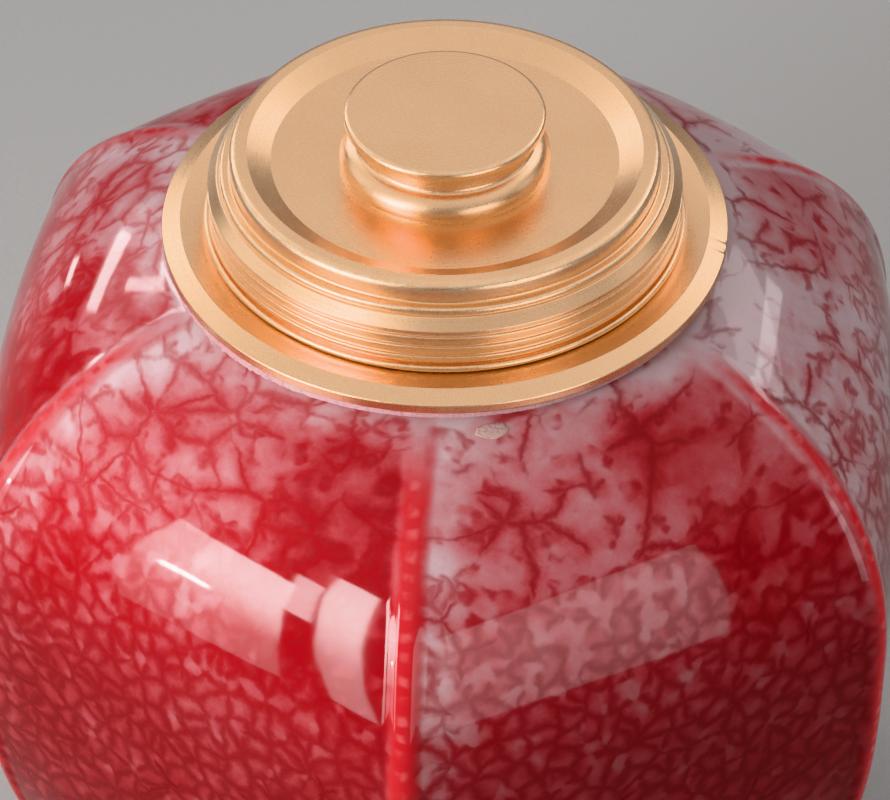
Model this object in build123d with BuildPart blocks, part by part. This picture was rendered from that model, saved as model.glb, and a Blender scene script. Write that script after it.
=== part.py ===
from build123d import *
import os
from math import acos, asin, cos, copysign, degrees, radians, sin

# A six-panel porcelain canister. Its mouth wears a glued-in aluminium collar, and a plug lid with a
# mushroom knob pulls straight up out of the collar. Millimetres; +Z is up, the origin is the centre of
# the foot ring's underside, and one of the six ridges points along -Y.

# Body: every ridge line is a superellipse about the widest level, and the panels between the ridges
# flatten as the body widens from its round neck.
PANELS = 6
RIDGE_RADIUS = 65.8
WIDEST_HEIGHT = 61.8
SHOULDER_REACH = 44.7
BELLY_REACH = 68.0
SQUARENESS = 2.67
ROUND_RADIUS = 35.0
PANEL_FLATNESS = 0.10
FLATTENING_POWER = 0.6
RIB_HALF_WIDTH = 1.9
RIB_HEIGHT = 0.9
WALL = 4.6
INNER_CORNER_HALF_WIDTH = 6.0
MOUTH_RIM_RADIUS = 31.0
MOUTH_BORE_RADIUS = 28.2
INNER_NECK_RADIUS = 27.0
INNER_FLOOR_RADIUS = 37.0
BASE_HEIGHT = 3.0
FOOT_OUTER_RADIUS = 40.0
FOOT_INNER_RADIUS = 36.0
FOOT_OVERLAP = 1.0
FOOT_FILLET = 0.9
SHOULDER_SECTIONS = 8
BELLY_SECTIONS = 7

# Collar: heights from here on are above SEAT, the level that the metalwork is laid out from.
SEAT = 105.0
FLANGE_RADIUS = 35.0
FLANGE_UNDERSIDE = -0.35
FLANGE_EDGE = 0.95
FLANGE_CREST_RADIUS = 32.73
FLANGE_CREST = 1.76
FLANGE_EDGE_FILLET = 0.25
DISH_RADIUS = 29.9
DISH = 1.35
UPSTAND_RADIUS = 27.9
UPSTAND_TOP = 4.5
COLLAR_BORE_RADIUS = 26.0
SLEEVE_RADIUS = 27.6
SLEEVE_BOTTOM = -10.0
END_FILLET = 0.3

# Adhesive: it fills the gap under the flange and swells out a little past the flange's edge.
BEAD_RADIUS = 35.5
BEAD_TOP = 0.0
BEAD_MIDDLE = -0.8
BEAD_BOTTOM = -3.0
ADHESIVE_BOTTOM = -5.0

# Lid cap.
LIP_RADIUS = 29.75
LIP_BOTTOM = 1.5
LIP_TOP = 2.3
LIP_FILLET = 0.27
SKIRT_ROOT_RADIUS = 28.75
SKIRT_RADIUS = 29.2
SKIRT_BORE_RADIUS = 28.3
BAND_BOTTOM = 2.7
BAND_COUNT = 3
BAND_PITCH = 1.5
GROOVE_WIDTH = 0.75
GROOVE_DEPTH = 0.34
BEVEL_BOTTOM = 7.2
BEVEL_TOP = 8.62
BEVEL_TOP_RADIUS = 28.0
LEDGE_RADIUS = 27.6
LEDGE = 9.45
LEDGE_FILLET = 0.75
RIM_RADIUS = 26.35
RIM_TOP = 12.05
RIM_FILLET = 0.84
COVE_FILLET = 0.25
RIM_FLAT_RADIUS = 24.2
RECESS_RADIUS = 21.3
RECESS_FLOOR = 10.5
CAP_SHOULDER = 4.9
CAP_POCKET_RADIUS = 24.5
CAP_CEILING = 8.95

# Lid plug and its silicone seal.
PLUG_PLATE_BOTTOM = 7.75
PLUG_NECK_RADIUS = 24.4
PLUG_RADIUS = 25.6
PLUG_BORE_RADIUS = 22.9
PLUG_BOTTOM = -7.0
PLUG_CHAMFER = 0.6
SEAL_TOP = -1.5
SEAL_BOTTOM = -5.0
SEAL_ROOT_RADIUS = 24.6
SEAL_BACK_RADIUS = 25.5
SEAL_FIN_RADIUS = 25.92
FIN_HEIGHT = 1.0

# Knob: a round-edged disc with a flared underside, on a waist above a rounded bead.
KNOB_TOP = 17.6
KNOB_DISC_RADIUS = 12.3
KNOB_DISC_BOTTOM = 16.5
KNOB_EDGE_FILLET = 0.95
KNOB_WAIST_RADIUS = 10.8
KNOB_WAIST_TOP = 15.9
KNOB_WAIST_BOTTOM = 13.9
KNOB_BEAD_TOP = 13.35
KNOB_BEAD_TOP_RADIUS = 11.3
KNOB_BEAD_MIDDLE = 11.9
KNOB_BEAD_RADIUS = 12.75
KNOB_FOOT_RADIUS = 12.9
WAIST_HOLLOW = 0.1
TAPPED_RADIUS = 1.55
TAPPED_TOP = 15.3

# Fastener: an M3 pan-head screw and its washer, under the plug's plate.
CLEARANCE_RADIUS = 1.7
WASHER_RADIUS = 3.6
WASHER_THICKNESS = 0.5
SCREW_RADIUS = 1.5
SCREW_LENGTH = 7.5
SCREW_HEAD_RADIUS = 2.9
SCREW_HEAD_HEIGHT = 1.9
SCREW_HEAD_FILLET = 0.7
DRIVE_WIDTH = 0.8
DRIVE_LENGTH = 3.2
DRIVE_DEPTH = 1.0


def ridge_point(angle, inset):
    """Radius and height on a ridge line, by an angle above (+) or below (-) the widest level."""
    reach = SHOULDER_REACH if angle >= 0 else BELLY_REACH
    radius = (RIDGE_RADIUS - inset) * cos(angle) ** (2 / SQUARENESS)
    rise = (reach - inset) * abs(sin(angle)) ** (2 / SQUARENESS)
    return radius, WIDEST_HEIGHT + copysign(rise, angle)


def angle_of_radius(radius, inset):
    """Angle at which a ridge line is as far from the axis as radius."""
    return acos((radius / (RIDGE_RADIUS - inset)) ** (SQUARENESS / 2))


def angle_of_depth(depth):
    """Angle at which the outer ridge line is as far below the widest level as depth."""
    return asin((depth / BELLY_REACH) ** (SQUARENESS / 2))


def polar(radius, angle):
    """A point of the sketch plane, by its angle in degrees."""
    return (radius * cos(radians(angle)), radius * sin(radians(angle)))


def body_section(angle, inset, corner_half_width, rib_height):
    """Level section: a convex arc for each panel and a short arc over each ridge."""
    ridge, height = ridge_point(angle, inset)
    widening = (ridge + inset - ROUND_RADIUS) / (RIDGE_RADIUS - ROUND_RADIUS)
    flatness = max(0.0, widening) ** FLATTENING_POWER
    panel = ridge * (1 - PANEL_FLATNESS * flatness)
    corner = ridge - rib_height * flatness
    half_corner = degrees(corner_half_width / ridge)
    step = 360 / PANELS
    with BuildSketch(Plane.XY.offset(height)) as section:
        with BuildLine():
            for side in range(PANELS):
                start = side * step - 90
                end = start + step
                ThreePointArc(
                    polar(corner, start + half_corner),
                    polar(panel, start + step / 2),
                    polar(corner, end - half_corner),
                )
                ThreePointArc(
                    polar(corner, end - half_corner),
                    polar(ridge, end),
                    polar(corner, end + half_corner),
                )
        make_face()
    return section.sketch


def body_sections(low_angle, high_angle, inset, corner_half_width, rib_height):
    """Sections from the lowest level to the highest."""
    below = [-low_angle * (1 - i / BELLY_SECTIONS) for i in range(BELLY_SECTIONS)]
    above = [high_angle * i / SHOULDER_SECTIONS for i in range(SHOULDER_SECTIONS + 1)]
    return [body_section(a, inset, corner_half_width, rib_height) for a in below + above]


def up(*points):
    """Profile points given as radius and height above SEAT."""
    return [(radius, SEAT + height) for radius, height in points]


def corners(section, *points):
    """The section's corners nearest to points given as radius and height above SEAT."""
    return [section.vertices().sort_by_distance(point)[0] for point in up(*points)]


def write(part, name):
    """Name a finished piece and write its file."""
    part.label = name
    export_step(part, f"parts/{name}.step")


os.makedirs("parts", exist_ok=True)

with BuildPart() as jar_body:
    loft(
        body_sections(
            angle_of_depth(WIDEST_HEIGHT - BASE_HEIGHT),
            angle_of_radius(MOUTH_RIM_RADIUS, 0),
            0,
            RIB_HALF_WIDTH,
            RIB_HEIGHT,
        )
    )
    with BuildSketch():
        Circle(FOOT_OUTER_RADIUS)
        Circle(FOOT_INNER_RADIUS, mode=Mode.SUBTRACT)
    extrude(amount=BASE_HEIGHT + FOOT_OVERLAP)
    foot_edges = jar_body.edges().filter_by(GeomType.CIRCLE).group_by(Axis.Z)[0]
    fillet(foot_edges, radius=FOOT_FILLET)
    loft(
        body_sections(
            angle_of_radius(INNER_FLOOR_RADIUS, WALL),
            angle_of_radius(INNER_NECK_RADIUS, WALL),
            WALL,
            INNER_CORNER_HALF_WIDTH,
            0,
        ),
        mode=Mode.SUBTRACT,
    )
    with BuildSketch(Plane.XY.offset(WIDEST_HEIGHT)):
        Circle(MOUTH_BORE_RADIUS)
    extrude(amount=SEAT - WIDEST_HEIGHT, mode=Mode.SUBTRACT)
write(jar_body.part, "jar_body")

with BuildPart() as neck_collar:
    with BuildSketch(Plane.XZ) as collar_section:
        with BuildLine():
            Polyline(
                *up(
                    (SLEEVE_RADIUS, FLANGE_UNDERSIDE),
                    (FLANGE_RADIUS, FLANGE_UNDERSIDE),
                    (FLANGE_RADIUS, FLANGE_EDGE),
                    (FLANGE_CREST_RADIUS, FLANGE_CREST),
                    (DISH_RADIUS, DISH),
                    (UPSTAND_RADIUS, DISH),
                    (UPSTAND_RADIUS, UPSTAND_TOP),
                    (COLLAR_BORE_RADIUS, UPSTAND_TOP),
                    (COLLAR_BORE_RADIUS, SLEEVE_BOTTOM),
                    (SLEEVE_RADIUS, SLEEVE_BOTTOM),
                ),
                close=True,
            )
        make_face()
        edge = corners(
            collar_section, (FLANGE_RADIUS, FLANGE_UNDERSIDE), (FLANGE_RADIUS, FLANGE_EDGE)
        )
        fillet(edge, radius=FLANGE_EDGE_FILLET)
        ends = corners(
            collar_section,
            (UPSTAND_RADIUS, UPSTAND_TOP),
            (COLLAR_BORE_RADIUS, UPSTAND_TOP),
            (COLLAR_BORE_RADIUS, SLEEVE_BOTTOM),
            (SLEEVE_RADIUS, SLEEVE_BOTTOM),
        )
        fillet(ends, radius=END_FILLET)
    revolve(axis=Axis.Z)
write(neck_collar.part, "neck_collar")

with BuildPart() as collar_adhesive:
    with BuildSketch(Plane.XZ):
        with BuildLine():
            bead = ThreePointArc(
                *up((FLANGE_RADIUS, BEAD_TOP), (BEAD_RADIUS, BEAD_MIDDLE), (FLANGE_RADIUS, BEAD_BOTTOM))
            )
            Polyline(
                bead @ 1,
                *up(
                    (MOUTH_BORE_RADIUS, BEAD_BOTTOM),
                    (MOUTH_BORE_RADIUS, ADHESIVE_BOTTOM),
                    (SLEEVE_RADIUS, ADHESIVE_BOTTOM),
                    (SLEEVE_RADIUS, BEAD_TOP),
                ),
                bead @ 0,
            )
        make_face()
    revolve(axis=Axis.Z)
    add(neck_collar.part, mode=Mode.SUBTRACT)
    add(jar_body.part, mode=Mode.SUBTRACT)
write(collar_adhesive.part, "collar_adhesive")

with BuildPart() as lid_cap:
    with BuildSketch(Plane.XZ) as cap_section:
        with BuildLine():
            Polyline(
                *up(
                    (CLEARANCE_RADIUS, CAP_CEILING),
                    (CAP_POCKET_RADIUS, CAP_CEILING),
                    (CAP_POCKET_RADIUS, CAP_SHOULDER),
                    (SKIRT_BORE_RADIUS, CAP_SHOULDER),
                    (SKIRT_BORE_RADIUS, LIP_BOTTOM),
                    (LIP_RADIUS, LIP_BOTTOM),
                    (LIP_RADIUS, LIP_TOP),
                    (SKIRT_ROOT_RADIUS, LIP_TOP),
                    (SKIRT_ROOT_RADIUS, BAND_BOTTOM),
                    (SKIRT_RADIUS, BAND_BOTTOM),
                    (SKIRT_RADIUS, BEVEL_BOTTOM),
                    (BEVEL_TOP_RADIUS, BEVEL_TOP),
                    (LEDGE_RADIUS, BEVEL_TOP),
                    (LEDGE_RADIUS, LEDGE),
                    (RIM_RADIUS, LEDGE),
                    (RIM_RADIUS, RIM_TOP),
                    (RIM_FLAT_RADIUS, RIM_TOP),
                    (RECESS_RADIUS, RECESS_FLOOR),
                    (CLEARANCE_RADIUS, RECESS_FLOOR),
                ),
                close=True,
            )
        make_face()
        grooves = [BAND_BOTTOM + BAND_PITCH * (i + 1) - GROOVE_WIDTH / 2 for i in range(BAND_COUNT)]
        with Locations(*up(*[(SKIRT_RADIUS, groove) for groove in grooves])):
            Rectangle(2 * GROOVE_DEPTH, GROOVE_WIDTH, mode=Mode.SUBTRACT)
        lip = corners(cap_section, (LIP_RADIUS, LIP_BOTTOM), (LIP_RADIUS, LIP_TOP))
        fillet(lip, radius=LIP_FILLET)
        fillet(corners(cap_section, (LEDGE_RADIUS, LEDGE)), radius=LEDGE_FILLET)
        fillet(corners(cap_section, (RIM_RADIUS, LEDGE)), radius=COVE_FILLET)
        fillet(corners(cap_section, (RIM_RADIUS, RIM_TOP)), radius=RIM_FILLET)
    revolve(axis=Axis.Z)
write(lid_cap.part, "lid_cap")

with BuildPart() as lid_plug:
    with BuildSketch(Plane.XZ) as plug_section:
        with BuildLine():
            Polyline(
                *up(
                    (CLEARANCE_RADIUS, CAP_CEILING),
                    (PLUG_NECK_RADIUS, CAP_CEILING),
                    (PLUG_NECK_RADIUS, UPSTAND_TOP),
                    (PLUG_RADIUS, UPSTAND_TOP),
                    (PLUG_RADIUS, SEAL_TOP),
                    (SEAL_ROOT_RADIUS, SEAL_TOP),
                    (SEAL_ROOT_RADIUS, SEAL_BOTTOM),
                    (PLUG_RADIUS, SEAL_BOTTOM),
                    (PLUG_RADIUS, PLUG_BOTTOM),
                    (PLUG_BORE_RADIUS, PLUG_BOTTOM),
                    (PLUG_BORE_RADIUS, PLUG_PLATE_BOTTOM),
                    (CLEARANCE_RADIUS, PLUG_PLATE_BOTTOM),
                ),
                close=True,
            )
        make_face()
        mouth = corners(plug_section, (PLUG_RADIUS, PLUG_BOTTOM), (PLUG_BORE_RADIUS, PLUG_BOTTOM))
        chamfer(mouth, length=PLUG_CHAMFER)
    revolve(axis=Axis.Z)
write(lid_plug.part, "lid_plug")

with BuildPart() as lid_seal:
    with BuildSketch(Plane.XZ):
        with BuildLine():
            Polyline(
                *up(
                    (SEAL_ROOT_RADIUS, SEAL_TOP),
                    (SEAL_BACK_RADIUS, SEAL_TOP),
                    (SEAL_FIN_RADIUS, SEAL_TOP - FIN_HEIGHT / 2),
                    (SEAL_BACK_RADIUS, SEAL_TOP - FIN_HEIGHT),
                    (SEAL_BACK_RADIUS, SEAL_BOTTOM + FIN_HEIGHT),
                    (SEAL_FIN_RADIUS, SEAL_BOTTOM + FIN_HEIGHT / 2),
                    (SEAL_BACK_RADIUS, SEAL_BOTTOM),
                    (SEAL_ROOT_RADIUS, SEAL_BOTTOM),
                ),
                close=True,
            )
        make_face()
    revolve(axis=Axis.Z)
write(lid_seal.part, "lid_seal")

with BuildPart() as lid_knob:
    with BuildSketch(Plane.XZ) as knob_section:
        with BuildLine():
            crown = Polyline(
                *up(
                    (TAPPED_RADIUS, RECESS_FLOOR),
                    (TAPPED_RADIUS, TAPPED_TOP),
                    (0, TAPPED_TOP),
                    (0, KNOB_TOP),
                    (KNOB_DISC_RADIUS, KNOB_TOP),
                    (KNOB_DISC_RADIUS, KNOB_DISC_BOTTOM),
                )
            )
            waist = Polyline(
                crown @ 1,
                *up((KNOB_WAIST_RADIUS, KNOB_WAIST_TOP), (KNOB_WAIST_RADIUS, KNOB_WAIST_BOTTOM)),
            )
            flare = SagittaArc(
                waist @ 1, *up((KNOB_BEAD_TOP_RADIUS, KNOB_BEAD_TOP)), -WAIST_HOLLOW
            )
            bead = ThreePointArc(
                flare @ 1,
                *up((KNOB_BEAD_RADIUS, KNOB_BEAD_MIDDLE), (KNOB_FOOT_RADIUS, RECESS_FLOOR)),
            )
            Line(bead @ 1, crown @ 0)
        make_face()
        fillet(corners(knob_section, (KNOB_DISC_RADIUS, KNOB_TOP)), radius=KNOB_EDGE_FILLET)
    revolve(axis=Axis.Z)
write(lid_knob.part, "lid_knob")

washer_bottom = SEAT + PLUG_PLATE_BOTTOM - WASHER_THICKNESS

with BuildPart() as knob_washer:
    with BuildSketch(Plane.XY.offset(washer_bottom)):
        Circle(WASHER_RADIUS)
        Circle(CLEARANCE_RADIUS, mode=Mode.SUBTRACT)
    extrude(amount=WASHER_THICKNESS)
write(knob_washer.part, "knob_washer")

with BuildPart() as knob_screw:
    with BuildSketch(Plane.XY.offset(washer_bottom)):
        Circle(SCREW_HEAD_RADIUS)
    extrude(amount=-SCREW_HEAD_HEIGHT)
    fillet(knob_screw.edges().group_by(Axis.Z)[0], radius=SCREW_HEAD_FILLET)
    with BuildSketch(Plane.XY.offset(washer_bottom)):
        Circle(SCREW_RADIUS)
    extrude(amount=SCREW_LENGTH)
    with BuildSketch(Plane.XY.offset(washer_bottom - SCREW_HEAD_HEIGHT)):
        Rectangle(DRIVE_LENGTH, DRIVE_WIDTH)
        Rectangle(DRIVE_WIDTH, DRIVE_LENGTH)
    extrude(amount=DRIVE_DEPTH, mode=Mode.SUBTRACT)
write(knob_screw.part, "knob_screw")
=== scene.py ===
import math
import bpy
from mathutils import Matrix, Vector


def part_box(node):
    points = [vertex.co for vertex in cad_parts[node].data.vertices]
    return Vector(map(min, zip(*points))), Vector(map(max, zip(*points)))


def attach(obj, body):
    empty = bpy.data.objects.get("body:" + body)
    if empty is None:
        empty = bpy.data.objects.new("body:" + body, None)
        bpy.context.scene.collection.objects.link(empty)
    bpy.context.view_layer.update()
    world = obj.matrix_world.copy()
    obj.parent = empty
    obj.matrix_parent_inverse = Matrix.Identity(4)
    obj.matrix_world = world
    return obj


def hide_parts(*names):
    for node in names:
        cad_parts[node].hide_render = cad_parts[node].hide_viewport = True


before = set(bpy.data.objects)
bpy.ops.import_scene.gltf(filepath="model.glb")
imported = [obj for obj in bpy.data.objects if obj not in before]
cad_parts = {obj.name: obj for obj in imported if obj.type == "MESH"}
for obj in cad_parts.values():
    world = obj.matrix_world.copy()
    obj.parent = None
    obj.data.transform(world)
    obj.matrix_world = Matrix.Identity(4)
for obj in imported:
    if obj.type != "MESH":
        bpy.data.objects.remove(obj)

from types import SimpleNamespace

import bpy
import numpy as np
from mathutils import Quaternion, Vector, noise

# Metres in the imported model's own frame: +Z is up, the foot stands on z = 0 and one ridge points along -Y.
# Azimuths are about the axis, from -Y towards +X. The jar's shader patterns are laid out in millimetres.
MM = 0.001
TURN = 2 * math.pi

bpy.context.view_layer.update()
collar_low, collar_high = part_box("neck_collar")

SLEEVE_DEPTH = 10.0 * MM
SEAT = collar_low.z + SLEEVE_DEPTH      # the level that the collar, adhesive and lid are laid out from
FLANGE_RADIUS = collar_high.x
ADHESIVE_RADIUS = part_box("collar_adhesive")[1].x
RIDGE_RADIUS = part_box("jar_body")[1].y

# Body: each ridge line is a superellipse about the widest level, and the panels flatten below the neck.
PANELS = 6
WIDEST = 61.8 * MM
SHOULDER_REACH = 44.7 * MM
BELLY_REACH = 68.0 * MM
SQUARENESS = 2.67
ROUND_RADIUS = 35.0 * MM
PANEL_FLATNESS = 0.10
FLATTENING_POWER = 0.6
RIB_HALF_WIDTH = 1.9 * MM
RIB_HEIGHT = 0.9 * MM
RIB_MARGIN = 1.6                        # a rib's columns reach this many of its half widths
CREASE_BLEND = 0.35 * MM
WALL = 4.6 * MM
MOUTH_RIM_RADIUS = 31.0 * MM
MOUTH_BORE_RADIUS = 28.2 * MM
RIM_ROUNDING = 0.8 * MM
INNER_FLOOR_RADIUS = 37.0 * MM
BASE_HEIGHT = 3.0 * MM
FOOT_OUTER_RADIUS = 40.0 * MM
FOOT_INNER_RADIUS = 36.0 * MM
FOOT_ROUNDING = 0.9 * MM
ROUND_BELOW = 0.02                      # a level less flattened than this is left round
PANEL_COLUMNS = 44
RIB_COLUMNS = 16
OUTER_ROWS = 190
INNER_ROWS = 60
INNER_CORNER_HALF_WIDTH = 6.0 * MM
INNER_CREASE_BLEND = 1.4 * MM
LINE_SAMPLES = 4000                     # steps in which a ridge line's length is measured
GLAZE_WAVE = 0.15 * MM
GLAZE_WAVE_LENGTH = 13.0 * MM
CHART_STEP = 300.0                      # how far apart the panels' glaze charts are, in mm
GLAZE, WHITE, BISCUIT = range(3)        # material slots of the body

# Glaze: each scale of veins has a cell size and a half width, in mm.
LONG_VEINS = (11.0, 0.95)
MID_VEINS = (6.0, 1.10)
FINE_VEINS = (3.3, 1.20)
# Spacing of the painted highlights down each ridge's crest, in mm.
RIDGE_HIGHLIGHT_PITCH = 2.5
DEPTH_UNIT = 100.0                      # how far down the glaze its depth of colour is laid out
DEPTH_STOPS = ((0.00, 0.06), (0.05, 0.20), (0.16, 0.46), (0.42, 0.45), (0.66, 0.54), (1.00, 0.72))

# Turned pieces: their outlines are radius, height above SEAT and rounding, in mm.
SEGMENTS = 540
EDGE_SEGMENTS = 960                     # for the pieces with an uneven edge
KNOB_SEGMENTS = 360
FLANGE_EDGE = 0.95
NICK_AZIMUTHS = (math.radians(83.5), math.radians(86.5))
NICK_SIZE = 0.33
NICK_DEPTH = 0.16
CREASE = math.radians(35)
SQUEEZE_AZIMUTH = math.radians(-48)
SQUEEZE_SPREAD = math.radians(26)
SQUEEZE_REACH = 0.55
SQUEEZE_ZONE = 1.2                      # how far in from the flange's edge the adhesive is uneven
SQUEEZE_LUMPS = 60                      # how closely its lumps follow each other round the flange
SMEAR_AZIMUTH = math.radians(13.5)
SMEAR_RADIUS = 36.6
SMEAR_SIZE = (2.1, 1.0, 0.15)
BANDS = 3
BAND_BOTTOM = 2.7
BAND_PITCH = 1.5
GROOVE_WIDTH = 0.75
SKIRT_RADIUS = 29.2
GROOVE_RADIUS = 28.86

FLOOR_REACH = 3.0
PANE_BEAM = 100                         # degrees
CAMERA_AZIMUTH = 4.5                    # degrees
CAMERA_ELEVATION = 41.93                # degrees
CAMERA_DISTANCE = 15.54 * FLANGE_RADIUS
CAMERA_DROP = 0.842 * FLANGE_RADIUS     # the camera aims this far below the flange, on the axis
CAMERA_FIELD = math.radians(12.0)


# ---------------------------------------------------------------------------------- shader nodes --
class Nodes:
    """Adds shader nodes to one tree. new returns the node, and the other methods what it gives out."""

    def __init__(self, tree):
        self.tree = tree

    def new(self, kind, inputs, **settings):
        made = self.tree.nodes.new(kind)
        for name, value in settings.items():
            setattr(made, name, value)
        for key, value in inputs.items():
            if isinstance(value, bpy.types.NodeSocket):
                self.tree.links.new(value, made.inputs[key])
            else:
                made.inputs[key].default_value = value
        return made

    def point(self):
        return self.new("ShaderNodeTexCoord", {}).outputs["Object"]

    def attribute(self, name, output):
        return self.new("ShaderNodeAttribute", {}, attribute_name=name).outputs[output]

    def math(self, operation, *values, clamp=False):
        made = self.new("ShaderNodeMath", dict(enumerate(values)), operation=operation, use_clamp=clamp)
        return made.outputs[0]

    def vector(self, operation, first, second):
        return self.new("ShaderNodeVectorMath", {0: first, 1: second}, operation=operation).outputs[0]

    def scaled(self, vector, factor):
        made = self.new("ShaderNodeVectorMath", {0: vector, "Scale": factor}, operation="SCALE")
        return made.outputs[0]

    def parts(self, vector):
        return self.new("ShaderNodeSeparateXYZ", {0: vector}).outputs

    def noise(self, vector, scale, detail=2.0, roughness=0.5, output="Fac"):
        inputs = {"Vector": vector, "Scale": scale, "Detail": detail, "Roughness": roughness}
        return self.new("ShaderNodeTexNoise", inputs).outputs[output]

    def line_noise(self, place, scale, detail=2.0):
        inputs = {"W": place, "Scale": scale, "Detail": detail}
        return self.new("ShaderNodeTexNoise", inputs, noise_dimensions="1D").outputs["Fac"]

    def cell_edge(self, vector, scale):
        """Distance to the nearest cell border, in cells, on the flat chart."""
        settings = {"voronoi_dimensions": "2D", "feature": "DISTANCE_TO_EDGE"}
        return self.new("ShaderNodeTexVoronoi", {"Vector": vector, "Scale": scale}, **settings).outputs[0]

    def ramp(self, value, low, high, start=0.0, end=1.0):
        """value's smooth step from start at low to end at high."""
        inputs = {"Value": value, "From Min": low, "From Max": high, "To Min": start, "To Max": end}
        return self.new("ShaderNodeMapRange", inputs, interpolation_type="SMOOTHSTEP").outputs[0]

    def mix(self, factor, first, second):
        """A colour between first, where factor is 0, and second, where it is 1."""
        inputs = {0: factor, 6: first, 7: second}   # of the node's sockets, those for mixing colours
        return self.new("ShaderNodeMix", inputs, data_type="RGBA").outputs[2]

    def colours(self, value, stops):
        """A colour ramp through (place, colour) stops."""
        made = self.new("ShaderNodeValToRGB", {0: value})
        elements = made.color_ramp.elements
        while len(elements) < len(stops):
            elements.new(1.0)
        for element, (place, colour) in zip(elements, stops):
            element.position = place
            element.color = colour
        return made.outputs[0]

    def radius(self, point):
        """Distance of a point from the axis."""
        flat = self.vector("MULTIPLY", point, (1.0, 1.0, 0.0))
        return self.new("ShaderNodeVectorMath", {0: flat}, operation="LENGTH").outputs["Value"]

    def bump(self, height, distance):
        return self.new("ShaderNodeBump", {"Height": height, "Distance": distance}).outputs[0]


def srgb(red, green, blue):
    """A linear colour, with alpha, from 0-255 display values."""
    display = [c / 255 for c in (red, green, blue)]
    return (*[((c + 0.055) / 1.055) ** 2.4 if c > 0.04 else c / 12.92 for c in display], 1.0)


def darker(colour, factor):
    """The linear colour of display values that are all scaled down by factor."""
    return srgb(*[c * factor for c in colour])


def new_material(name, **values):
    """A Principled material with constant settings; returns it, its nodes and its shader."""
    material = bpy.data.materials.new(name)
    material.use_nodes = True
    shader = material.node_tree.nodes["Principled BSDF"]
    for key, value in values.items():
        shader.inputs[key.replace("_", " ")].default_value = value
    return material, Nodes(material.node_tree), shader


def connect(shader, **sockets):
    """Link output sockets to the shader's inputs of the same names."""
    for key, socket in sockets.items():
        shader.id_data.links.new(socket, shader.inputs[key.replace("_", " ")])


# ------------------------------------------------------------------------------------- materials --
def vein_layer(n, chart, cell, width, presence, seed):
    """(vein, halo) of a wandering net of about one cell size, whose lines swell, taper and break off."""
    place = n.vector("ADD", chart, (seed * 37.0, seed * 91.0, seed * 5.0))
    bend = n.vector("SUBTRACT", n.noise(place, 0.6 / cell, 1.0, 0.5, "Color"), (0.5, 0.5, 0.5))
    wiggle = n.vector("SUBTRACT", n.noise(place, 0.42, 2.0, 0.6, "Color"), (0.5, 0.5, 0.5))
    bent = n.vector("ADD", n.scaled(bend, 0.8 * cell), n.scaled(wiggle, 1.9))
    distance = n.math("MULTIPLY", n.cell_edge(n.vector("ADD", place, bent), 1 / cell), cell)
    patches = n.noise(n.vector("ADD", place, (11.0, 3.0, 7.0)), 0.9 / cell, 1.0, 0.5)
    strength = n.ramp(n.math("ADD", patches, presence), 0.40, 0.64)
    half_width = n.math("MULTIPLY", n.math("MULTIPLY_ADD", strength, 0.65, 0.35), width)
    line = n.ramp(distance, 0.0, half_width, 1.0, 0.0)
    vein = n.math("MULTIPLY", line, n.ramp(strength, 0.0, 0.6))
    halo = n.math("MULTIPLY", n.ramp(distance, 0.0, 3.0 * width, 1.0, 0.0), strength)
    return vein, halo


def glaze_place(n):
    """Where a point of the glaze lies, in mm: on its panel's chart, from the nearest ridge, on the jar."""
    chart = n.attribute("glaze_chart", "Vector")
    point = n.scaled(n.point(), 1 / MM)
    across, back = n.parts(point)[:2]
    return SimpleNamespace(
        chart=chart,
        down=n.parts(chart)[1],
        from_ridge=n.attribute("from_ridge", "Fac"),
        side=n.attribute("ridge_side", "Fac"),
        point=point,
        across=across,
        back=back,
        clouds=n.noise(point, 0.11, 3.0, 0.5),
        mottle=n.noise(point, 0.36, 2.0, 0.6),
    )


def glaze_redness(n, at):
    """How red the glaze is off its veins: redder lower down, clouded, and paler to the back and right."""
    stops = [(place, (level, level, level, 1)) for place, level in DEPTH_STOPS]
    depth = n.colours(n.math("DIVIDE", at.down, DEPTH_UNIT), stops)
    cloudiness = n.math(
        "MULTIPLY", n.ramp(at.across, -10.0, 30.0, 0.65, 0.45), n.ramp(at.down, 20.0, 60.0, 1.0, 0.6)
    )
    redness = n.math("MULTIPLY_ADD", n.math("SUBTRACT", at.clouds, 0.5), cloudiness, depth)
    outward = n.ramp(at.across, -45.0, 0.0, 0.14, 0.0)
    redness = n.math("MULTIPLY_ADD", outward, n.ramp(at.down, 20.0, 50.0, -1.2, 1.0), redness)
    paler = n.math(
        "MULTIPLY", n.ramp(at.back, -38.0, 5.0, 0.0, -0.26), n.ramp(at.across, -30.0, 30.0, 0.1, 1.1)
    )
    paler = n.math("ADD", paler, n.ramp(at.across, 24.0, 44.0, 0.0, -0.17))
    redness = n.math("ADD", redness, n.math("MULTIPLY", paler, n.ramp(at.down, 34.0, 60.0, 1.0, 0.2)))
    redness = n.math("ADD", redness, n.math("MULTIPLY_ADD", at.mottle, 0.32, -0.16))
    grain = n.noise(at.point, 2.8, 2.0, 0.6)
    return n.math("ADD", redness, n.math("MULTIPLY_ADD", grain, 0.12, -0.06))


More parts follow.
